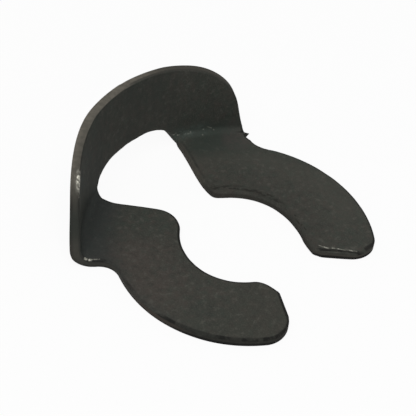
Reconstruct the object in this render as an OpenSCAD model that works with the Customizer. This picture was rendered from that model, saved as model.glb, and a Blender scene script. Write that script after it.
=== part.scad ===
// Spring-steel retaining clip, one stamped and folded sheet.
// Frame: origin on the seat axis at the plate's underside, +X out through the mouth, +Z up the folded wall. Millimetres.

/* [Seat and mouth] */
// diameter of the round seat that grips the groove of the part held
seat_d = 13; // [12:0.1:14]
// gap between the two lead-in walls of the mouth
mouth_gap = 7.4; // [6.5:0.1:8.5]
// radius where the seat turns into the lead-in wall
lead_r = 2.1; // [1.2:0.1:2.4]

/* [Sheet and fold] */
// thickness of the sheet
sheet_t = 1.0; // [0.8:0.05:1.2]
// inside radius of the fold
bend_r = 0.8; // [0.5:0.1:1.2]
// place along X of the upright axis that the curved wall is formed round
fold_x = 1.2; // [0.6:0.1:2]
// distance from that axis at which the flat plate ends and the fold begins
fold_r = 16.6; // [16.2:0.1:17.2]

/* [Fingers] */
// radius of the fingers' outer edge
finger_r = 13.8; // [13:0.1:14.2]
// place along X of the centre of that edge
finger_x = 0.1; // [-0.3:0.1:0.5]
// place along X of the pointed inner corner of the fingertip
tip_x = 7.6; // [7.2:0.1:8]
// slant of the fingertip's end edge against X
tip_angle = 37; // [34:0.5:42]
// radius of the fingertip's outer corner
tip_r = 2.5; // [1.4:0.1:2.8]
// radius of the fingertip's pointed inner corner
point_r = 0.3; // [0.1:0.05:0.5]

/* [Roots and slot] */
// half width across the roots where the fold begins
root_half = 13.1; // [12.7:0.1:13.4]
// slant of the root's outer side against X
root_angle = 39.5; // [36:0.5:43]
// radius of the hollow between the root and the finger
root_fillet = 2.4; // [1.4:0.1:2.8]
// half width of the slot where it leaves the seat
slot_half = 2.2; // [1.8:0.1:2.6]
// slant of the slot's side against X
slot_angle = 28.6; // [27:0.2:31]
// radius of the heel between the slot and the seat
heel_r = 2.5; // [1.5:0.1:2.8]

/* [Wall] */
// height of the wall's top edge above the underside
wall_h = 11; // [10:0.1:12]
// slope by which the wall's two sides draw in toward the top
wall_taper = 22; // [18:0.5:25]
// radius of the wall's two upper corners
wall_corner_r = 10.4; // [9:0.1:11.2]
// height of the arch's crown above the underside
arch_h = 3.6; // [3.1:0.1:4.2]
// half width of the arch at its widest
arch_half = 7; // [6.8:0.1:7.3]
// radius of the arch's two upper corners
arch_r = 4.7; // [4.3:0.1:5.1]

/* [Hidden] */
$fn = 120;
steel = [0.23, 0.23, 0.215];

seat_r = seat_d / 2;
mouth_half = mouth_gap / 2;
// depth by which each rounding overlaps the edges it runs into, so that they cross and never only touch
blend = 0.004;
// length of flat that the fold carries in over the plate
lap = 0.6;
// angle by which the straight runs of the section reach into the fold
key_angle = 8;
// angle by which the folded wall runs past the roots before it is trimmed
spare_angle = 5;
// room left round a cut or a trim
clear = 2;
// a place along X well behind the wall
behind = -fold_r - bend_r - sheet_t - clear;

// point at distance r from o on the line n.p = c, on the side picked by s
function on_line(n, c, o, r, s) = let (d = c - n * o, h = sqrt(r * r - d * d)) o + d * n + s * h * [-n[1], n[0]];
// point where the lines m.p = a and n.p = b cross
function cross_lines(m, a, n, b) = [a * n[1] - b * m[1], m[0] * b - n[0] * a] / (m[0] * n[1] - m[1] * n[0]);

finger_c = [finger_x, 0];

// outer side of the root, through the outer end of the fold, and the hollow between it and the finger
root_n = [-sin(root_angle), -cos(root_angle)];
root_c = root_n * [fold_x - sqrt(fold_r * fold_r - root_half * root_half), root_half];
root_along = [-cos(root_angle), sin(root_angle)];
hollow = on_line(root_n, root_c - root_fillet, finger_c, finger_r + root_fillet, -1);
hollow_back = [behind, (root_n * hollow - root_n[0] * behind) / root_n[1]];

// end edge of the finger, through the pointed corner, and its outer corner
tip_n = [-sin(tip_angle), cos(tip_angle)];
tip_c = tip_n * [tip_x, mouth_half];
tip_o = on_line(tip_n, tip_c + tip_r, finger_c, finger_r - tip_r, -1);
point_o = cross_lines(tip_n, tip_c + point_r, [0, 1], mouth_half + point_r);

// turn from the lead-in wall into the seat
lead_o = [sqrt(pow(seat_r + lead_r, 2) - pow(mouth_half + lead_r, 2)), mouth_half + lead_r];

// side of the slot, and the heel between it and the seat
slot_n = [sin(slot_angle), cos(slot_angle)];
slot_c = slot_n * [-seat_r, slot_half];
heel_o = on_line(slot_n, slot_c + heel_r, [0, 0], seat_r + heel_r, 1);
heel_x = heel_o[0] - heel_r * slot_n[0];
function slot_y(x) = (slot_c - slot_n[0] * x) / slot_n[1];

// upper corner of the wall's side, seen along the root's side: inward from the side and up
taper_n = [-cos(wall_taper), sin(wall_taper)];
// height just above the plate at which the wall's sides begin to draw in
taper_z = sheet_t + bend_r / 10;
corner_z = wall_h - wall_corner_r;
corner_o = [root_c + ((corner_z - taper_z) * sin(wall_taper) + wall_corner_r) / cos(wall_taper), corner_z];

// outer edge of the finger, from the hollow to the tip
module finger_edge() {
    inner = seat_r + (finger_r - seat_r) / 2;
    outer = 2 * finger_r;
    to_hollow = (hollow - finger_c) / norm(hollow - finger_c);
    to_tip = (tip_o - finger_c) / norm(tip_o - finger_c);
    intersection() {
        translate(finger_c) circle(finger_r);
        polygon([finger_c + inner * to_hollow, finger_c + outer * to_hollow, finger_c + outer * to_tip, finger_c + inner * to_tip]);
    }
}

// one finger and its root, over the middle line and out to the hollow's centre, with the seat, slot and hollow still to be cut
module half_outline() {
    polygon([hollow_back, hollow, finger_c + (hollow - finger_c) * (finger_r - root_fillet) / (finger_r + root_fillet), tip_o,
             tip_o - tip_r * tip_n, point_o - point_r * tip_n, point_o, point_o - [0, point_r],
             lead_o - [0, lead_r], lead_o, lead_o * mouth_half / norm(lead_o), heel_o * mouth_half / norm(heel_o), heel_o,
             heel_o - heel_r * slot_n, [heel_x, -clear], [behind, -clear]]);
    finger_edge();
    translate(tip_o) circle(tip_r + blend);
    translate(point_o) circle(point_r + blend);
    translate(lead_o) circle(lead_r + blend);
    translate(heel_o) circle(heel_r + blend);
}

// flat plate, ending inside the flat that the fold carries in
module plate() {
    intersection() {
        linear_extrude(sheet_t) union() {
            half_outline();
            mirror([0, 1]) half_outline();
        }
        translate([fold_x, 0, -clear]) cylinder(h = sheet_t + 2 * clear, r = fold_r - lap / 2);
    }
}

// section of the sheet through the fold, r outward and z up; the straight runs are keyed into the fold's middle
module fold_section() {
    o = [fold_r, sheet_t + bend_r];
    outer = bend_r + sheet_t;
    mid = bend_r + sheet_t / 2;
    top = wall_h - o[1];
    polygon([[fold_r - lap, 0], [fold_r, 0], o + mid * [sin(key_angle), -cos(key_angle)], [fold_r, sheet_t], [fold_r - lap, sheet_t]]);
    intersection() {
        difference() {
            translate(o) circle(outer);
            translate(o) circle(bend_r);
        }
        translate(o - [0, outer + clear]) square(outer + clear);
    }
    polygon([o + [bend_r, 0], o + mid * [cos(key_angle), -sin(key_angle)], o + [outer, 0], o + [outer, top], o + [bend_r, top]]);
}

// folded wall, formed round an upright axis, before its sides and its arch are cut
module wall() {
    half_sweep = asin(root_half / fold_r) + spare_angle;
    translate([fold_x, 0, 0]) rotate([0, 0, 180 - half_sweep]) rotate_extrude(angle = 2 * half_sweep) fold_section();
}

// cut along the root's side: upright through the plate, then drawn in toward the top, and round at the wall's upper corner
module side_cut() {
    reach = 2 * fold_r;
    rise = sheet_t + bend_r / 2;
    rotate([0, 0, -root_angle]) rotate([90, 0, -90]) difference() {
        linear_extrude(reach) difference() {
            polygon([[-reach, -clear], [root_c, -clear], [root_c, taper_z], corner_o + wall_corner_r * taper_n, corner_o,
                     [corner_o[0], wall_h + clear], [-reach, wall_h + clear]]);
            translate(corner_o) circle(wall_corner_r + blend);
        }
        // the finger lies outside the line of the root's side, so the low part of the cut starts at the hollow
        translate([-2 * reach, -2 * clear, -clear]) cube([3 * reach, 2 * clear + rise, clear + root_along * hollow]);
    }
}

// hollow between the root and the finger
module hollow_cut() {
    translate([hollow[0], hollow[1], -clear]) cylinder(h = wall_h + 2 * clear, r = root_fillet + blend);
}

// slot behind the seat, carried up through the fold and ended in an arch
module slot_cut() {
    flat = arch_half - arch_r;
    front = heel_x + heel_r / 4;
    intersection() {
        translate([0, 0, -clear]) linear_extrude(wall_h)
            polygon([[front, slot_y(front)], [front, -slot_y(front)], [behind, -slot_y(behind)], [behind, slot_y(behind)]]);
        rotate([90, 0, -90]) linear_extrude(-behind) union() {
            translate([-flat, -clear]) square([2 * flat, clear + arch_h]);
            for (s = [-1, 1]) translate([s * flat, arch_h - arch_r]) circle(arch_r);
        }
    }
}

// the whole clip
module retaining_clip() {
    color(steel) difference() {
        union() {
            plate();
            wall();
        }
        translate([0, 0, -clear]) cylinder(h = sheet_t + 2 * clear, r = seat_r);
        slot_cut();
        hollow_cut();
        mirror([0, 1, 0]) hollow_cut();
        side_cut();
        mirror([0, 1, 0]) side_cut();
    }
}

retaining_clip();
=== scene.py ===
"""Retaining clip: the stamped and folded spring-steel sheet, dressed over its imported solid, on a pale studio floor."""
import math

import bpy
import numpy as np
from mathutils import Matrix, Vector


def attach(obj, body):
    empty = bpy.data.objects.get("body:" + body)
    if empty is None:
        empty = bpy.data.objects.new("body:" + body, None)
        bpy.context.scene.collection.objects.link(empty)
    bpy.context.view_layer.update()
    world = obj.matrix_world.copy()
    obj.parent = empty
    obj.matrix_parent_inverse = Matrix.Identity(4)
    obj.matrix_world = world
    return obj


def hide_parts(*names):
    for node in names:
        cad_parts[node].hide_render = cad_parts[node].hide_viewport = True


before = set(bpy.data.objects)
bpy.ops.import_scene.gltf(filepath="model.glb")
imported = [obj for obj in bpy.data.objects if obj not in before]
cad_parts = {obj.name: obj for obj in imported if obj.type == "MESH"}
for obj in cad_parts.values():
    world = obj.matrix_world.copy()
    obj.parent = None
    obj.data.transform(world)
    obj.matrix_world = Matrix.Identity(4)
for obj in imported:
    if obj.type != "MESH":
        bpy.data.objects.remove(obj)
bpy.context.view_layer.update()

# The clip
# One piece of 1 mm spring steel, blanked in a press and folded once round a curved die, so that the two
# fingers lie flat and the wall stands up behind them. Tumbling has rounded the upper edges, a dark
# phosphate coat covers it, and handling has rubbed a few edges bright. Sizes are in millimetres.
mm, per_metre = 0.001, 1000
seat_r, mouth_half, lead_r = 6.5, 3.7, 2.1
sheet_t, bend_r, fold_x, fold_r = 1.0, 0.8, 1.2, 16.6
finger_r, finger_x = 13.8, 0.1
tip_x, tip_slant, tip_r, point_r = 7.6, math.radians(37), 2.5, 0.3
root_half, root_slant, root_fillet = 13.1, math.radians(39.5), 2.4
slot_half, slot_slant, heel_r = 2.2, math.radians(28.6), 2.5
wall_h, wall_taper, wall_corner_r = 11.0, math.radians(22), 10.4
arch_h, arch_half, arch_r = 3.6, 7.0, 4.7
fold_len = (bend_r + sheet_t / 2) * math.pi / 2
wall_foot = sheet_t + bend_r
# width and drop of the rounding along the upper and the lower cut edges, and along the worn far side of the seat
upper_round, lower_round, seat_round = (0.36, 0.19), (0.12, 0.06), (0.6, 0.36)
# how far each cut edge of this worn clip stands out from its drawn line, by place along the edge: 0 to 1 fingertip,
# 1 to 2 finger, 2 to 3 heel or hollow, 3 to 4 root, 4 to 5 fold, 5 to 6 wall up to its middle
far_inner = [
    (0, -0.14), (0.06, -0.12), (0.2, 0.1), (0.3, 0.22), (0.4, 0.16), (0.49, 0), (0.6, -0.06), (0.8, -0.08), (0.97, 0),
    (1.1, 0.26), (1.2, 0.43), (1.4, 0.49), (1.64, 0.35), (1.9, 0.13), (2, 0), (2.1, -0.04), (2.27, 0.05), (2.37, 0.15),
    (2.46, 0.1), (2.56, -0.05), (2.65, -0.16), (2.84, -0.24), (2.95, -0.24), (3.1, -0.14), (3.3, -0.1), (3.6, -0.1),
    (3.9, -0.06), (4.05, 0.04), (4.25, 0.1), (4.5, 0.08), (5, -0.05), (5.2, -0.05), (5.45, 0.1), (5.75, 0.2),
    (6, 0.15)]
near_inner = [
    (0, 0.06), (0.3, 0.07), (1, 0.06), (1.2, -0.04), (1.45, -0.09), (1.7, -0.04), (2, 0), (2.3, 0.04), (2.55, 0.13),
    (2.8, 0.26), (3, 0.35), (3.12, 0.36), (3.3, 0.29), (3.5, 0.23), (3.72, 0.09), (3.82, 0.09), (3.92, 0.23), (4, 0.56),
    (4.1, 0.63), (4.3, 0.67), (4.6, 0.69), (5, 0.66), (5.05, 0.58), (5.1, 0.45), (5.15, 0.35), (5.22, 0.3),
    (5.45, 0.33), (5.75, 0.27), (6, 0.16)]
far_outer = [
    (0, -0.12), (0.35, -0.11), (0.5, -0.05), (0.62, 0), (0.74, 0.12), (0.86, 0.09), (1, 0.1), (1.3, 0.04), (1.65, 0.1),
    (2, 0.37), (2.5, 0.15), (3, -0.35), (4, -0.7), (4.5, -0.8), (5, -0.85), (5.12, -0.4), (5.28, 0.23), (5.45, 0.045),
    (5.62, -0.355), (5.8, -0.055), (6, 0.21)]
near_outer = [
    (0, 0.1), (0.06, 0.09), (0.2, 0.01), (0.35, -0.05), (0.5, -0.08), (1, -0.07), (1.3, 0.03), (1.65, 0.02), (2, -0.12),
    (2.5, -0.05), (3, 0.16), (4, 0.19), (4.5, 0.18), (5, 0.07), (5.12, -0.13), (5.28, -0.18), (5.45, 0), (5.62, 0.15),
    (5.8, 0.2), (6, 0.21)]
# how far the outer face of the fold and the wall swells out at the outer edge: the near half, and the plain far half
near_back = [(0, 0), (4.4, 0), (4.75, 0.32), (5.05, 0.16), (5.2, -0.1), (5.45, -0.1), (5.7, 0.01), (6, 0)]
far_back = [(0, 0), (6, 0)]
# the burr squeezed out at the far end of the fold: place along the edge, reach, width, and its share on the lower face
burr_at, burr_reach, burr_wide, burr_below = 4.3, 0.5, 0.08, 0.3


def on_line(normal, offset, centre, radius, side):
    """Point of the line normal.p = offset at that radius from a centre, on the side that the sign picks."""
    away = offset - normal @ centre
    return centre + away * normal + side * math.sqrt(radius ** 2 - away ** 2) * np.array([-normal[1], normal[0]])


def turn(centre, radius, start, end, count=40):
    """Arc of a circle from the bearing of one point to the bearing of another, the short way round."""
    a, b = (math.atan2(*(p - centre)[::-1]) for p in (start, end))
    b = a + (b - a + math.pi) % (2 * math.pi) - math.pi
    s = np.linspace(a, b, count)
    return centre + radius * np.c_[np.cos(s), np.sin(s)]


def spread(line, shares):
    """Points of a polyline at given shares of its length."""
    run = np.r_[0, np.cumsum(np.linalg.norm(np.diff(line, axis=0), axis=1))]
    return np.c_[[np.interp(np.asarray(shares) * run[-1], run, c) for c in line.T]].T


# corners of the flat outline: root and hollow, fingertip, lead-in, heel, and the round of the wall's upper corner
finger_c, seat_c = np.array([finger_x, 0.0]), np.zeros(2)
root_n = np.array([-math.sin(root_slant), -math.cos(root_slant)])
root_end = np.array([fold_x - math.sqrt(fold_r ** 2 - root_half ** 2), root_half])
root_c = root_n @ root_end
hollow = on_line(root_n, root_c - root_fillet, finger_c, finger_r + root_fillet, -1)
hollow_root = hollow + root_fillet * root_n
hollow_finger = finger_c + (hollow - finger_c) * finger_r / (finger_r + root_fillet)
tip_n = np.array([-math.sin(tip_slant), math.cos(tip_slant)])
tip_c = tip_n @ [tip_x, mouth_half]
tip_o = on_line(tip_n, tip_c + tip_r, finger_c, finger_r - tip_r, -1)
tip_finger = finger_c + (tip_o - finger_c) * finger_r / (finger_r - tip_r)
tip_end = tip_o - tip_r * tip_n
point_o = np.linalg.solve([tip_n, [0, 1]], [tip_c + point_r, mouth_half + point_r])
point_end, point_lead = point_o - point_r * tip_n, point_o - [0, point_r]
lead_o = np.array([math.sqrt((seat_r + lead_r) ** 2 - (mouth_half + lead_r) ** 2), mouth_half + lead_r])
lead_wall, lead_seat = lead_o - [0, lead_r], lead_o * seat_r / (seat_r + lead_r)
slot_n = np.array([math.sin(slot_slant), math.cos(slot_slant)])
slot_c = slot_n @ [-seat_r, slot_half]
heel_o = on_line(slot_n, slot_c + heel_r, seat_c, seat_r + heel_r, 1)
heel_seat, heel_slot = heel_o * seat_r / (seat_r + heel_r), heel_o - heel_r * slot_n
taper_z = sheet_t + bend_r / 10
corner_z = wall_h - wall_corner_r
corner_a = root_c + ((corner_z - taper_z) * math.sin(wall_taper) + wall_corner_r) / math.cos(wall_taper)


def slot_bearing(r):
    """Bearing round the fold's axis, from straight back, at which the slot's side crosses radius r."""
    return slot_slant + np.arcsin((slot_c - fold_x * math.sin(slot_slant)) / r)


def side_bearing(a, r):
    """Bearing at which the cut along the root's side, a inward of the seat's axis, crosses radius r."""
    return root_slant - np.arcsin((a + fold_x * math.sin(root_slant)) / r)


def section(m, depth):
    """Radius and height of the folded sheet at run m past the fold's start: flat, a quarter turn, then upright.
    depth is 0 on the upper and inner face and 1 on the lower and outer one."""
    beta = np.clip(m / fold_len, 0, 1) * math.pi / 2
    q = bend_r + depth * sheet_t
    return fold_r + np.minimum(m, 0) + q * np.sin(beta), wall_foot - q * np.cos(beta) + np.maximum(m - fold_len, 0)


# stations along the sheet, close together at the fingertip's point, and the place along the edge that each one has
point_run, tip_run = np.array([0, 0.03, 0.07, 0.12, 0.18, 0.26, 0.36, 0.5]), 3.2
tip_stops = np.r_[point_run / tip_run, np.linspace(0.2, 1, 34)]
finger_count, heel_count, root_count, fold_count, wall_count = 112, 44, 44, 29, 130
fold_stops, wall_stops = np.linspace(0, 1, fold_count), np.linspace(0, 1, wall_count)
flat_stops = [tip_stops] + [np.linspace(0, 1, n) for n in (finger_count, heel_count, root_count)]
root_place, wall_place = 3, 5
stretches = enumerate(flat_stops + [fold_stops])
along_edge = np.concatenate([k + s[:-1] for k, s in stretches] + [wall_place + wall_stops])
# points on the finer arcs before they are spread over the stations
point_arc, seat_arc, finger_arc, arch_arc, corner_arc = 12, 90, 120, 60, 120


def edges(depth):
    """Inner and outer cut edge of one face, tip to crown, as (bearing, run past the fold) at each station.
    The two edges go from corner to corner together, each evenly along its own length between two corners."""
    slot_fold = slot_bearing(fold_r)
    fold_slot = np.array([fold_x - fold_r * math.cos(slot_fold), fold_r * math.sin(slot_fold)])
    lead_in = np.vstack([turn(point_o, point_r, point_end, point_lead, point_arc),
                         turn(lead_o, lead_r, lead_wall, lead_seat)])
    inner = [lead_in, turn(seat_c, seat_r, lead_seat, heel_seat, seat_arc),
             turn(heel_o, heel_r, heel_seat, heel_slot), np.vstack([heel_slot, fold_slot])]
    outer = [turn(tip_o, tip_r, tip_end, tip_finger), turn(finger_c, finger_r, tip_finger, hollow_finger, finger_arc),
             turn(hollow, root_fillet, hollow_finger, hollow_root), np.vstack([hollow_root, root_end])]
    flat = [np.vstack([spread(line, s)[:-1] for line, s in zip(pieces, flat_stops)]) for pieces in (inner, outer)]
    flat = [np.c_[np.arctan2(p[:, 1], fold_x - p[:, 0]), np.hypot(p[:, 0] - fold_x, p[:, 1]) - fold_r] for p in flat]
    m = fold_len * fold_stops[:-1]
    r, z = section(m, depth)
    arch = arch_half - arch_r + np.sqrt(arch_r ** 2 - (z - arch_h + arch_r) ** 2)
    side = root_c + np.maximum(z - taper_z, 0) * math.tan(wall_taper)
    bend = [np.c_[np.minimum(slot_bearing(r), np.arcsin(arch / r)), m], np.c_[side_bearing(side, r), m]]
    r = fold_r + bend_r + depth * sheet_t
    s = np.linspace(math.asin((wall_foot - arch_h + arch_r) / arch_r), math.pi / 2, arch_arc)
    y = np.r_[arch_half - arch_r + arch_r * np.cos(s), 0]
    z = np.r_[arch_h - arch_r + arch_r * np.sin(s), arch_h]
    crown = np.c_[np.arcsin(y / r), z]
    s = np.linspace(wall_taper, math.pi / 2, corner_arc)
    a = np.r_[root_c + (wall_foot - taper_z) * math.tan(wall_taper), corner_a - wall_corner_r * np.cos(s)]
    z = np.r_[wall_foot, corner_z + wall_corner_r * np.sin(s)]
    brow = np.vstack([np.c_[side_bearing(a, r), z], [0, wall_h]])
    wall = [spread(line * [r, 1], wall_stops) / [r, 1] + [0, fold_len - wall_foot] for line in (crown, brow)]
    return [np.vstack(p) for p in zip(flat, bend, wall)]


def stand(table, ease, window=24):
    """Stand of an edge at each station: the table joined by straight lines, then smoothed by a bell-shaped mean
    that is ease stations wide and looks window stations either way."""
    values = np.interp(along_edge, *zip(*table))
    reach = np.arange(-window, window + 1)
    bell = np.exp(-0.5 * (reach / ease) ** 2)
    padded = np.r_[2 * values[0] - values[window:0:-1], values, values[-2:-window - 2:-1]]
    return np.convolve(padded, bell / bell.sum(), "valid")


def stood(edge, other, out, depth):
    """Edge moved square to itself, in the sheet, by out millimetres away from the other edge."""
    scale = np.c_[section(edge[:, 1], depth)[0], np.ones(len(edge))]
    along = np.gradient(edge, axis=0) * scale
    along /= np.linalg.norm(along, axis=1, keepdims=True)
    square = np.c_[along[:, 1], -along[:, 0]]
    square *= np.sign((square * (edge - other) * scale).sum())
    return edge + square * out[:, None] / scale


def plan(p):
    """Plan place of (bearing, run past the fold), with the fold laid out flat."""
    r = fold_r + p[..., 1]
    return np.stack([fold_x - r * np.cos(p[..., 0]), r * np.sin(p[..., 0])], -1)


# columns across the sheet: these distances from each cut edge, and this many from the last of them to the other side's
edge_columns, middle_columns = np.array([0, 0.02, 0.05, 0.09, 0.14, 0.2, 0.27, 0.36, 0.48]), 26
# place along the edge up to which the fingertip's end counts as a cut edge, and a distance that stands for none
end_reach, no_edge = 1.2, 99


def face(depth, inner_out, outer_out):
    """Grid of one face: straight lines from the inner to the outer edge, straight in the plan of the fingers,
    turning by the root into lines round the fold's axis. Gives the points, the normals that look out of the
    upper face, the distance from a cut edge and the run past the fold's start."""
    a, b = edges(depth)
    a, b = stood(a, b, inner_out, depth), stood(b, a, outer_out, depth)
    width = np.linalg.norm(plan(a) - plan(b), axis=1)
    near = edge_columns[:, None] / width
    v = np.vstack([near, np.linspace(near[-1], 1 - near[-1], middle_columns)[1:-1], 1 - near[::-1]]).T[..., None]
    straight = plan(a)[:, None] * (1 - v) + plan(b)[:, None] * v
    round_axis = plan(a[:, None] * (1 - v) + b[:, None] * v)
    w = np.clip(along_edge - root_place, 0, 1)[:, None, None]
    w = w * w * (3 - 2 * w)
    p = straight * (1 - w) + round_axis * w
    bearing, m = np.arctan2(p[..., 1], fold_x - p[..., 0]), np.hypot(p[..., 0] - fold_x, p[..., 1]) - fold_r
    r, z = section(m, depth)
    beta = np.clip(m / fold_len, 0, 1) * math.pi / 2
    ray = np.stack([-np.cos(bearing), np.sin(bearing)], -1)
    points = np.concatenate([[fold_x, 0] + r[..., None] * ray, z[..., None]], -1)
    up = np.concatenate([-np.sin(beta)[..., None] * ray, np.cos(beta)[..., None]], -1)
    gaps = []
    for edge in (0, -1):
        along = np.gradient(points[:, edge], axis=0)
        along /= np.linalg.norm(along, axis=1, keepdims=True)
        step = points - points[:, edge][:, None]
        step -= (step * along[:, None]).sum(-1, keepdims=True) * along[:, None]
        gaps.append(np.linalg.norm(step, axis=-1))
    end = np.where(along_edge[:, None] < end_reach, p @ tip_n - tip_c, no_edge)
    return points, up, np.minimum(np.minimum(*gaps), end), m


def rolled(gap, width, drop):
    """Fall of a rounded edge: a quarter of an ellipse that is level at its width and upright at the cut."""
    s = np.clip(1 - gap / width, 0, 1)
    return drop * (1 - np.sqrt(np.maximum(1 - s * s, 0)))


# the rounding's dents: seeded draws, the stations that one spans, what their sum is divided by, and how far they change
# the width; then the stations over which an edge's stand is eased
dents = np.random.default_rng(6)
dent_span, dent_scale, dent_share, dent_least, dent_most = 13, 3.0, 0.2, 0.6, 1.5
inner_ease, outer_ease = 3.0, 7.0
# share of the wider rounding along the finger's inner edge and at its tip, by place along the edge
seat_wear, tip_wear = [(0.9, 0), (1.2, 1), (1.9, 1), (2.4, 0)], [(0.2, 0.6), (0.5, 0)]


def half(inner, outer, back, burr, seat):
    """Upper and lower grid of one half of the clip, rounded along their edges, with edge distance and run past the
    fold. The rounding's width wanders along each edge, and widens to seat along the finger's inner edge and its tip."""
    inner_out, outer_out = stand(inner, inner_ease), stand(outer, outer_ease)
    spur = burr * np.exp(-0.5 * ((along_edge - burr_at) / burr_wide) ** 2)
    top, up, top_gap, top_m = face(0, inner_out, outer_out + spur)
    low, down, low_gap, low_m = face(1, inner_out, outer_out + spur * burr_below)
    columns = np.linspace(0, 1, top_gap.shape[1])
    wander = dents.normal(size=(2, len(along_edge) + dent_span - 1))
    wander = np.stack([np.convolve(w, np.hanning(dent_span) / dent_scale, "valid") for w in wander], 1)
    wander = np.where(columns < 0.5, wander[:, :1], wander[:, 1:])
    worn = np.interp(along_edge, *zip(*seat_wear))[:, None] * (columns < 0.5)
    worn = np.maximum(worn, np.interp(along_edge, *zip(*tip_wear))[:, None])[..., None]
    width, drop = np.moveaxis(np.array(upper_round) * (1 - worn) + np.array(seat) * worn, -1, 0)
    width = width * np.clip(1 + dent_share * wander, dent_least, dent_most)
    top = top - up * rolled(top_gap, width, drop)[..., None]
    fuller = stand(back, outer_ease)[:, None] * columns ** 2
    low = low + down * (rolled(low_gap, *lower_round) - fuller)[..., None]
    return top, low, top_gap, low_gap, top_m, low_m


far_half = half(far_inner, far_outer, far_back, burr_reach, seat_round)
near_half = half(near_inner, near_outer, near_back, 0.0, upper_round)
top, low = (np.concatenate([f, n[-2::-1] * [1, -1, 1]]) for f, n in zip(far_half[:2], near_half[:2]))
top_gap, low_gap, top_m, low_m = (np.concatenate([f, n[-2::-1]]) for f, n in zip(far_half[2:], near_half[2:]))
stations, across = top_gap.shape


def quads(index, turned):
    """Faces of a grid of vertex numbers, in the order that makes them look outward."""
    q = np.stack([index[:-1, :-1], index[1:, :-1], index[1:, 1:], index[:-1, 1:]], -1).reshape(-1, 4)
    return q[:, ::-1] if turned else q


# the two faces are closed by a belt round the rim, the cut face of the sheet, with rows at these shares of its depth
number = np.arange(stations * across).reshape(stations, across)
rim = np.r_[number[:, 0], number[-1, 1:-1], number[::-1, -1], number[0, -2:0:-1]]
belt_shares = np.array([0.25, 0.5, 0.75])
belt_count = len(belt_shares) * len(rim)
low_start = stations * across + belt_count
belt_rows = stations * across + np.arange(belt_count).reshape(-1, len(rim))
belt = np.vstack([rim, belt_rows, low_start + rim])
belt = np.c_[belt, belt[:, :1]]
top_rim, low_rim = top.reshape(-1, 3)[rim], low.reshape(-1, 3)[rim]
belt_points = top_rim + (low_rim - top_rim) * belt_shares[:, None, None]
points = np.vstack([top.reshape(-1, 3), belt_points.reshape(-1, 3), low.reshape(-1, 3)])
faces = np.vstack([quads(number, True), quads(low_start + number, False), quads(belt, True)])
outer_half = (np.where(np.arange(across) > across // 2, 1.0, 0.0) * np.ones((stations, 1))).ravel()
# what the finish needs to know of each point: distance from a cut edge, run past the fold, whether it is nearer the
# outer edge, and how far down through the sheet it lies
marks = {
    "from_edge": np.r_[top_gap.ravel(), np.zeros(belt_count), low_gap.ravel()],
    "past_fold": np.r_[top_m.ravel(), np.tile(top_m.ravel()[rim], len(belt_shares)), low_m.ravel()],
    "outer_side": np.r_[outer_half, np.tile(outer_half[rim], len(belt_shares)), outer_half],
    "through": np.r_[np.zeros(top_gap.size), np.repeat(belt_shares, len(rim)), np.ones(low_gap.size)]}

sharp_from = math.radians(50)
sheet = bpy.data.meshes.new("clip")
sheet.from_pydata(points * mm, [], faces.tolist())
sheet.update()
for name, values in marks.items():
    sheet.attributes.new(name, "FLOAT", "POINT").data.foreach_set("value", values.astype(np.float32))
sheet.shade_smooth()
sheet.set_sharp_from_angle(angle=sharp_from)
clip = bpy.data.objects.new("clip", sheet)
bpy.context.scene.collection.objects.link(clip)
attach(clip, "root")
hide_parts("retaining_clip")


class Wire:
    """A node socket that stands in Python sums: each operator adds one Math node and gives its output."""

    tree = None

    def __init__(self, socket):
        self.socket = socket

    @classmethod
    def node(cls, kind, inputs, out=0, **settings):
        """Adds a node of that type, sets its settings, then feeds its sockets, named or numbered, with values or
        wires, and gives one of its outputs."""
        n = cls.tree.nodes.new("ShaderNode" + kind)
        for name, value in settings.items():
            setattr(n, name, value)
        for name, value in inputs.items():
            if isinstance(value, Wire):
                cls.tree.links.new(value.socket, n.inputs[name])
            else:
                n.inputs[name].default_value = value
        return cls(n.outputs[out])

    @classmethod
    def maths(cls, operation, *terms):
        """One Math node on values or wires."""
        return cls.node("Math", dict(enumerate(terms)), operation=operation)

    def feed(self, node, name):
        """Links this wire to a named socket of a node that is there already."""
        Wire.tree.links.new(self.socket, node.inputs[name])

    def __add__(self, other): return Wire.maths("ADD", self, other)
    def __radd__(self, other): return Wire.maths("ADD", other, self)
    def __sub__(self, other): return Wire.maths("SUBTRACT", self, other)
    def __rsub__(self, other): return Wire.maths("SUBTRACT", other, self)
    def __mul__(self, other): return Wire.maths("MULTIPLY", self, other)
    def __rmul__(self, other): return Wire.maths("MULTIPLY", other, self)


def noise(place, per_mm, detail=3.0, rough=0.5):
    """Noise that turns over about per_mm times in each millimetre of a place given in metres."""
    return Wire.node("TexNoise", {"Vector": place, "Scale": per_mm * per_metre, "Detail": detail, "Roughness": rough})


def ramp(value, low, high, least=0.0, most=1.0):
    """least below low, most above high and a smooth climb between; low may be the larger of the two."""
    return Wire.node("MapRange", {"Value": value, "From Min": low, "From Max": high, "To Min": least, "To Max": most},
                     interpolation_type="SMOOTHSTEP")


def band(value, start, full, fade, end):
    """1 from full to fade, 0 outside start and end, and a smooth climb and fall between."""
    return ramp(value, start, full) * ramp(value, end, fade)


def mix(share, a, b):
    """Colour a where share is 0 and colour b where it is 1."""
    return Wire.node("Mix", {0: share, 6: a, 7: b}, 2, data_type="RGBA")


def stretched(place, x, y, z):
    """Place with each axis multiplied, so that a noise read there is drawn out along the small ones."""
    return Wire.node("VectorMath", {0: place, 1: (x, y, z)}, operation="MULTIPLY")


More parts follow.
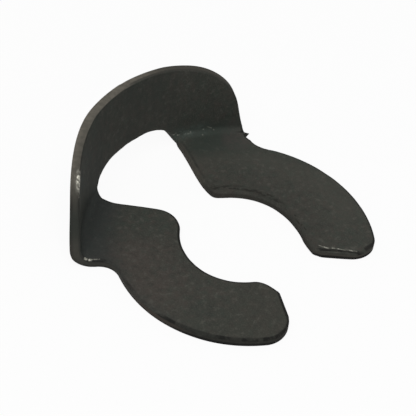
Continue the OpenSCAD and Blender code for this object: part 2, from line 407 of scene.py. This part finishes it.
def stroke(place, start, end):
    """Distance in millimetres from a straight stroke between two points given in millimetres."""
    start, run = np.array(start) * mm, (np.array(end) - start) * mm
    from_start = Wire.node("VectorMath", {0: place, 1: start}, operation="SUBTRACT")
    share = Wire.node("VectorMath", {0: from_start, 1: run / (run @ run)}, 1, operation="DOT_PRODUCT")
    foot = Wire.node("VectorMath", {0: run, "Scale": Wire.node("Clamp", {0: share})}, operation="SCALE")
    return Wire.node("VectorMath", {0: from_start, 1: foot}, 1, operation="DISTANCE") * per_metre


def srgb(r, g, b):
    """Linear colour of an 8-bit screen colour."""
    return [c / 3294.6 if c < 10.3 else ((c / 255 + 0.055) / 1.055) ** 2.4 for c in (r, g, b)] + [1.0]


phosphate = bpy.data.materials.new("phosphated_spring_steel")
phosphate.use_nodes = True
Wire.tree = phosphate.node_tree
shader = Wire.tree.nodes["Principled BSDF"]

# where a point lies, in millimetres: from the nearest cut edge, past the fold, toward the mouth, across to the far
# side, outward of the seat and in from the slanted end of the far finger; the bearing round the seat is in radians
place = Wire.node("TexCoord", {}, "Object")
rim_gap = Wire.node("Attribute", {}, "Fac", attribute_name="from_edge")
fold_run = Wire.node("Attribute", {}, "Fac", attribute_name="past_fold")
to_mouth = Wire.node("SeparateXYZ", {0: place}, 0) * per_metre
across_clip = Wire.node("SeparateXYZ", {0: place}, 1) * per_metre
seat_away = Wire.node("VectorMath", {0: stretched(place, 1, 1, 0)}, 1, operation="LENGTH") * per_metre - seat_r
end_slope = (tip_n[0] * per_metre, tip_n[1] * per_metre, 0)
from_end = Wire.node("VectorMath", {0: place, 1: end_slope}, 1, operation="DOT_PRODUCT") - tip_c
along_seat = Wire.maths("ARCTAN2", across_clip, to_mouth)
# which side it is on, from 0 to 1: nearer the outer edge, down through the sheet, on the upper face, on the far half,
# toward the fingertip, on the inner edge of the far half, and on the slot's part of that edge
outer_rim = Wire.node("Attribute", {}, "Fac", attribute_name="outer_side")
down_cut = Wire.node("Attribute", {}, "Fac", attribute_name="through")
upper = ramp(down_cut, 0.3, 0.05)
far_side = ramp(across_clip, -1, 1)
near_side, inner_rim = 1 - far_side, 1 - outer_rim
toward_tip = ramp(to_mouth, 0, 5)
seat_side = inner_rim * ramp(across_clip, 1, 3)
slot_side = seat_side * band(fold_run, -7.6, -6, -0.4, 0.6)
# the uneven growth of the coat, from slow clouds to fine grain, and the press's upright drag marks on the wall
cloud = noise(place, 0.16, 4)
blotch = noise(place, 0.55, 4, 0.65)
tint = noise(stretched(place, 1, 1, 0.7), 1.3, 3, 0.55)
fleck = noise(place, 1.7, 3, 0.6)
speck = noise(place, 3.6, 2, 0.6)
grain = noise(place, 6, 3, 0.6)
streak = noise(stretched(place, 1, 1, 0.12), 0.9, 4, 0.65)


def patch(centre, outer, inner, least=0.0):
    """Round soft patch about a point given in millimetres: 1 within the inner distance, least beyond the outer one."""
    away = Wire.node("VectorMath", {0: place, 1: np.array(centre) * mm}, 1, operation="DISTANCE") * per_metre
    return ramp(away, outer, inner, least)


# the coat all over: cool and warm grey, green and brown casts
cool_grey, warm_grey, green_cast, brown_cast = srgb(57, 59, 54), srgb(62, 61, 56), srgb(54, 61, 55), srgb(68, 61, 57)
colour = mix(ramp(cloud, 0.36, 0.64), cool_grey, warm_grey)
colour = mix(ramp(tint, 0.52, 0.66, 0, 0.5), colour, green_cast)
colour = mix(ramp(tint, 0.48, 0.34, 0, 0.4), colour, brown_cast)
# the near finger is browner by its root and greener toward its tip
root_brown, tip_green = srgb(73, 65, 61), srgb(57, 58, 52)
near_warm = patch((-4.5, -11.5, 1), 7, 2.5)
colour = mix(near_warm * ramp(blotch, 0.4, 0.62, 0.25, 0.7), colour, root_brown)
colour = mix(ramp(to_mouth, 1, 7) * ramp(across_clip, -2, -4) * 0.45, colour, tip_green)
# dark blotches and flecks, pale flecks and grain
dark_blotch, dark_fleck, pale_fleck, pale_grain = srgb(48, 50, 46), srgb(47, 47, 44), srgb(82, 81, 75), srgb(80, 80, 74)
colour = mix(ramp(blotch, 0.5, 0.7) * (0.35 + 0.2 * near_warm), colour, dark_blotch)
colour = mix(ramp(fleck, 0.5, 0.72, 0, 0.5), colour, dark_fleck)
colour = mix(ramp(fleck, 0.46, 0.28, 0, 0.55), colour, pale_fleck)
colour = mix(ramp(grain, 0.46, 0.7, 0, 0.38), colour, pale_grain)
# the far finger is paler toward its outer edge and darker round the seat
outward_pale, seat_dark = srgb(73, 72, 66), srgb(46, 46, 43)
far_finger = far_side * ramp(fold_run, -1.5, -4) * ramp(to_mouth, 6, 9, 1, 0.2)
colour = mix(far_finger * ramp(seat_away, 2.5, 5.5, 0, 0.35), colour, outward_pale)
colour = mix(far_finger * ramp(seat_away, 3, 0.8, 0, 0.2), colour, seat_dark)
# a blue-green bloom on the roots and in the fold
near_bloom, far_bloom = srgb(45, 49, 49), srgb(49, 57, 52)
bloom = far_side * ramp(fold_run, -4.6, -1.2) * patch((-11.0, 9.1, 1.2), 3.7, 2.4, 0.45)
bloom = bloom + near_side * ramp(fold_run, -4.2, -0.6)
bloom = bloom * ramp(fold_run, 4.0, 1.6) * (0.45 + 0.4 * cloud)
colour = mix(bloom, colour, mix(far_side, near_bloom, far_bloom))
# the wall, darkened all over as painted shade and further in upright streaks, less so toward the far end; the brown by
# the burr; and a pale painted highlight in the far half of the fold
wall_shade_and_streaks, burr_brown, fold_painted_highlight = srgb(46, 49, 46), srgb(73, 68, 65), srgb(72, 80, 75)
wall_face = ramp(fold_run, 0.8, 2.2) * ramp(across_clip, 5, 10, 1, 0.3)
colour = mix(wall_face * ramp(streak, 0.36, 0.66, 0.25, 0.55), colour, wall_shade_and_streaks)
colour = mix(patch((-9.8, 11.3, 1.4), 2.4, 1.0) * ramp(fleck, 0.4, 0.6, 0.25, 0.55), colour, burr_brown)
# painted highlight: the far half of the fold made paler where the bend faces the lamp, flecked
far_fold = band(fold_run, 0.2, 1.4, 1.8, 3.4) * ramp(across_clip, 5.0, 8.0) * ramp(across_clip, 9, 10.5, 1, 0.2)
colour = mix(far_fold * ramp(fleck, 0.4, 0.6, 0.3, 0.8), colour, fold_painted_highlight)
# the far side of the slot, with a painted highlight along its rounded rim and a line of painted shade inside it, and
# the rubbed rim of the arch
slot_rim_highlight, slot_rim_shade, arch_pale = srgb(76, 72, 65), srgb(42, 42, 39), srgb(76, 74, 69)
colour = mix(slot_side * upper * ramp(rim_gap, 0.28, 0.16, 0, 0.45), colour, slot_rim_highlight)
slot_shade_line = slot_side * upper * band(rim_gap, 0.2, 0.32, 0.42, 0.58)
colour = mix(slot_shade_line * ramp(blotch, 0.4, 0.62, 0.3, 0.7), colour, slot_rim_shade)
arch_rim = inner_rim * ramp(fold_run, 1.6, 2.8) * ramp(rim_gap, 0.5, 0.25) * (1 - 0.8 * far_side)
colour = mix(arch_rim * ramp(fleck, 0.4, 0.6, 0.4, 0.7), colour, arch_pale)
# painted shade: a black line along the rounded upper rim, where the rounding turns away from the lamp, fainter on the
# front of the near finger, on the wall, round the seat and at the far tip
painted_rim_shade = srgb(27, 27, 25)
rim_shade_line = ramp(rim_gap, 0.34, 0.15) * upper * (1 - 0.95 * seat_side)
rim_shade_line = rim_shade_line * (1 - ramp(fold_run, 0.5, 2) * (0.9 - 0.25 * outer_rim))
rim_shade_line = rim_shade_line * (1 - far_side * ramp(from_end, 1.8, 1.0, 0, 0.8))
rim_faint = outer_rim * near_side * ramp(fold_run, 0, -2)
rim_share = 0.75 - 0.6 * rim_faint + (0.2 + 0.4 * rim_faint) * ramp(blotch, 0.44, 0.58)
rim_share = rim_share + rim_faint * ramp(to_mouth, 0, 4) * ramp(fleck, 0.42, 0.56, 0.3, 0.45)
rim_share = rim_share + 0.2 * inner_rim * near_side
colour = mix(rim_shade_line * rim_share, colour, painted_rim_shade)
# the cut face of the sheet, with painted light and shade along the near and the far half: darker as painted shade at
# the near tip and along the far finger, paler as painted light on the far side of the slot; and a black line of painted
# shade at its foot
near_cut_root, near_cut_finger, near_cut_tip_shade = srgb(58, 57, 52), srgb(61, 53, 48), srgb(39, 38, 35)
far_cut_finger_shade, far_cut_tip, far_cut_slot_light = srgb(49, 47, 43), srgb(61, 58, 53), srgb(74, 70, 63)
painted_edge_shade = srgb(22, 21, 20)
side_cut = ramp(down_cut, 0.02, 0.14) * ramp(rim_gap, 0.05, 0.01)
near_cut = mix(ramp(to_mouth, -5, 0), near_cut_root, near_cut_finger)
near_cut = mix(ramp(to_mouth, 1, 5), near_cut, near_cut_tip_shade)
far_cut = mix(slot_side, mix(ramp(to_mouth, 5, 7), far_cut_finger_shade, far_cut_tip), far_cut_slot_light)
colour = mix(side_cut * ramp(fleck, 0.38, 0.6, 0.55, 0.85), colour, mix(far_side, near_cut, far_cut))
# painted shade: a black line along the foot of the cut face, stronger toward the tip
foot_shade_line = ramp(down_cut + 0.17 * toward_tip, 0.55, 0.82) * side_cut * (0.4 + 0.55 * toward_tip)
foot_shade_line = foot_shade_line * (1 - seat_side * ramp(from_end, 0.2, 0.6, 0, 0.6))
colour = mix(foot_shade_line, colour, painted_edge_shade)
# the dark smudge along the far side of the seat, drawn out round it: it leaves the edge past the bearing smudge_bend,
# and breaks into pits toward the mouth
smudge_black, smudge_bend, smudge_draw = srgb(36, 35, 32), 1.62, 2.5
past_bend = Wire.maths("POWER", Wire.maths("MAXIMUM", along_seat - smudge_bend, 0.0), 1.4)
smudge_line = ramp(Wire.maths("ABSOLUTE", seat_away - 0.8 * past_bend - 0.04), 0.44, 0.14)
drawn = noise(Wire.node("CombineXYZ", {0: seat_away * mm, 1: along_seat * (smudge_draw * mm)}), 2.6, 3, 0.65)
smudge = smudge_line * band(along_seat, 1.4, smudge_bend, 2.64, 2.8) * ramp(drawn, 0.42, 0.56, 0.12, 1)
pits = band(rim_gap, 0.1, 0.22, 0.4, 0.6) * ramp(along_seat, 1.5, 1.3) * ramp(to_mouth, 6.5, 5.5)
smudge = (smudge + pits * ramp(drawn, 0.54, 0.62)) * upper * far_side * ramp(fold_run, -3, -6)
colour = mix(smudge * 0.8, colour, smudge_black)
# a black line of painted shade along the rounded rim at the far finger's end, and the stain at its outer corner
stain_black = srgb(30, 29, 27)
end_shade_line = band(from_end, 0.16, 0.26, 0.44, 0.54) * upper * band(across_clip, 3.6, 4.0, 6.1, 6.9)
colour = mix(end_shade_line * ramp(fleck, 0.4, 0.6, 0.6, 0.95), colour, painted_edge_shade)
stain = ramp(stroke(place, (10.72, 7.2, 1.0), (10.85, 8.1, 0.95)), 0.34, 0.1) * upper
colour = mix(stain * 0.8, colour, stain_black)
# the wall's cut edge: darkened low on the near side as painted shade, and paler over the brow as painted light,
# narrower there toward the far side
cut_painted_shade, brow_painted_light = srgb(46, 49, 45), srgb(100, 96, 88)
wall_cut = ramp(rim_gap, 0.1, 0.02) * outer_rim * ramp(fold_run, 0.2, 1.2)
dull = wall_cut * near_side * ramp(fold_run, 6.4, 5.0) * ramp(fold_run, 2.4, 4.2, 0.05, 0.8)
colour = mix(dull, colour, cut_painted_shade)
brow = wall_cut * (ramp(fold_run, 6.0, 8.8) + ramp(fold_run, 3.6, 2.4, 0, 0.12)) * ramp(across_clip, 7, 1, 0.25, 1)
brow = brow * (1 - ramp(down_cut, 0.4, 0.1, 0, 0.75) * ramp(across_clip, -0.8, 1.6))
brow = brow * (1 - ramp(across_clip, -6, -9, 0, 0.35) * ramp(down_cut, 0.9, 0.3))
colour = mix(brow * ramp(fleck, 0.36, 0.62, 0.65, 1), colour, brow_painted_light)
# the wear down to bare steel, as strokes: start, end, width and strength
wall_rub = [((-12.8, -10.7, 8.4), (-12.1, -11.35, 7.1), 0.5, 0.16),
            ((-12.9, -10.45, 8.6), (-12.72, -10.63, 8.3), 0.36, 0.2),
            ((-12.6, -10.78, 8.15), (-12.18, -11.18, 7.45), 0.37, 0.85),
            ((-12.18, -11.18, 7.4), (-11.78, -11.54, 6.7), 0.24, 0.25)]
near_fold_rub = [((-9.42, -13.47, 1.06), (-9.3, -13.4, 1.0), 0.19, 0.6),
                 ((-9.02, -13.22, 0.94), (-8.92, -13.12, 0.94), 0.2, 0.75),
                 ((-9.1, -13.1, 1.05), (-9.05, -13.0, 1.1), 0.1, 0.5),
                 ((-8.8, -12.95, 0.98), (-8.35, -12.5, 1.0), 0.1, 0.3)]
far_end_rub = [((6.8, 4.2, 0.98), (7.3, 4.34, 0.98), 0.1, 0.3),
               ((7.25, 4.33, 0.98), (7.75, 4.52, 0.98), 0.13, 0.48),
               ((7.75, 4.52, 0.98), (8.1, 4.85, 0.99), 0.08, 0.2),
               ((8.05, 4.87, 0.99), (8.6, 5.18, 1.0), 0.12, 0.4),
               ((8.6, 5.18, 0.99), (9.25, 5.52, 0.98), 0.1, 0.28),
               ((9.25, 5.58, 0.98), (9.85, 5.98, 0.98), 0.13, 0.48),
               ((9.85, 5.98, 0.98), (10.2, 6.2, 0.98), 0.1, 0.2)]
far_fold_specks = [((-15.1, 6.14, 1.75), (-14.99, 6.37, 1.72), 0.14, 0.3),
                   ((-14.81, 6.73, 1.57), (-14.75, 6.85, 1.54), 0.13, 0.27),
                   ((-13.12, 9.15, 1.1), (-13.08, 9.2, 1.1), 0.12, 0.16),
                   ((-12.57, 10.43, 1.42), (-12.53, 10.47, 1.4), 0.12, 0.12),
                   ((-13.36, 9.48, 1.58), (-13.32, 9.54, 1.58), 0.12, 0.16),
                   ((-13.14, 9.9, 1.86), (-12.8, 10.3, 1.62), 0.1, 0.14)]
scars = [ramp(stroke(place, start, end), width, width * 0.3, 0, strength)
         for start, end, width, strength in wall_rub + near_fold_rub + far_end_rub + far_fold_specks]
bright = sum(scars[1:], scars[0]) * ramp(speck, 0.4, 0.58, 0.2, 1)
speckle = band(fold_run, 1.1, 1.6, 2.0, 2.4) * band(across_clip, 5.5, 6.5, 10, 11.4)
bright = bright + speckle * ramp(fleck, 0.56, 0.66) * ramp(blotch, 0.42, 0.56, 0, 0.2)
bright = Wire.node("Clamp", {0: bright})
bare_steel = srgb(188, 186, 174)
colour = mix(bright, colour, bare_steel)

# the coat is matt and a little rough to the touch; bare steel is smoother and metallic
coat_rough, grain_rough, bare_smooth, bare_metal, coat_gloss = 0.7, 0.2, 0.3, 0.6, 0.1
bump_share, bump_depth, blotch_rise = 0.4, 0.03, 1.5
colour.feed(shader, "Base Color")
(coat_rough + grain * grain_rough - bright * bare_smooth).feed(shader, "Roughness")
(bright * bare_metal).feed(shader, "Metallic")
bump = Wire.node("Bump", {"Strength": bump_share, "Distance": bump_depth * mm, "Height": grain + blotch * blotch_rise})
bump.feed(shader, "Normal")
shader.inputs["Specular IOR Level"].default_value = coat_gloss
sheet.materials.append(phosphate)

# The studio
# A pale paper floor that keeps the clip's shadow, a white surround, and one broad soft lamp overhead.
# The floor lies a hair under the clip, so that the two faces never share a plane. Sizes are in metres.
floor_half, floor_z = 2, -0.00002
floor_corners = [(x * floor_half, y * floor_half, floor_z) for x, y in ((-1, -1), (1, -1), (1, 1), (-1, 1))]
floor_mesh = bpy.data.meshes.new("floor")
floor_mesh.from_pydata(floor_corners, [], [(0, 1, 2, 3)])
floor = bpy.data.objects.new("floor", floor_mesh)
bpy.context.scene.collection.objects.link(floor)


def seen_white():
    """1 for a ray from the camera or one mirrored or let through by the clip, and 0 for the light that falls on it."""
    rays = [Wire.node("LightPath", {}, name) for name in ("Is Camera Ray", "Is Glossy Ray", "Is Transmission Ray")]
    return Wire.node("Clamp", {0: rays[0] + rays[1] + rays[2]})


# share of plain white in the floor as it is seen; the rest is lit paper, which holds the shadow
floor_white, paper_white, paper_rough = 0.92, srgb(240, 240, 240), 0.9
paper = bpy.data.materials.new("pale_paper")
paper.use_nodes = True
Wire.tree = paper.node_tree
matt = paper.node_tree.nodes["Principled BSDF"]
matt.inputs["Base Color"].default_value = paper_white
matt.inputs["Roughness"].default_value = paper_rough
matt.inputs["Specular IOR Level"].default_value = 0.0
glow = Wire.node("Emission", {"Color": (1, 1, 1, 1), "Strength": 1.0})
blend = Wire.node("MixShader", {0: seen_white() * floor_white, 1: Wire(matt.outputs[0]), 2: glow})
blend.feed(paper.node_tree.nodes["Material Output"], "Surface")
floor_mesh.materials.append(paper)

room_light = 0.4
world = bpy.data.worlds.new("surround")
world.use_nodes = True
bpy.context.scene.world = world
Wire.tree = world.node_tree
surround = world.node_tree.nodes["Background"]
surround.inputs["Color"].default_value = (1, 1, 1, 1)
(room_light + seen_white() * (1 - room_light)).feed(surround, "Strength")

lamp_watts, lamp_size, lamp_at = 0.92, 0.3, Vector((0.08, -0.12, 0.36))
overhead = bpy.data.lights.new("overhead", "AREA")
overhead.energy, overhead.size = lamp_watts, lamp_size
lamp = bpy.data.objects.new("overhead", overhead)
lamp.location = lamp_at
lamp.rotation_euler = (-lamp_at).to_track_quat("-Z", "Y").to_euler()
bpy.context.scene.collection.objects.link(lamp)

# The camera
# It stands where the photograph was taken from: 46 degrees up, a third of the way round to the mouth, a little rolled.
# The shift is in pixels of the picture, which is square.
azimuth, elevation, roll, distance = math.radians(33.58), math.radians(45.68), math.radians(6.82), 0.10504
film_width, lens, picture, shift_right, shift_up = 36, 87.66, 416, -34.54, 26.35
back = Vector((math.sin(azimuth) * math.cos(elevation), -math.cos(azimuth) * math.cos(elevation), math.sin(elevation)))
level_right = Vector((math.cos(azimuth), math.sin(azimuth), 0))
level_up = back.cross(level_right)
right = math.cos(roll) * level_right + math.sin(roll) * level_up
up = math.cos(roll) * level_up - math.sin(roll) * level_right
aim = Vector((0, 0, sheet_t * mm))
camera = bpy.data.objects.new("camera", bpy.data.cameras.new("camera"))
camera.matrix_world = Matrix.Translation(aim + back * distance) @ Matrix((right, up, back)).transposed().to_4x4()
camera.data.sensor_width, camera.data.lens = film_width, lens
camera.data.shift_x, camera.data.shift_y = shift_right / picture, shift_up / picture
camera.data.clip_start = 0.005
bpy.context.scene.collection.objects.link(camera)
bpy.context.scene.camera = camera
bpy.context.scene.view_settings.view_transform = "Standard"
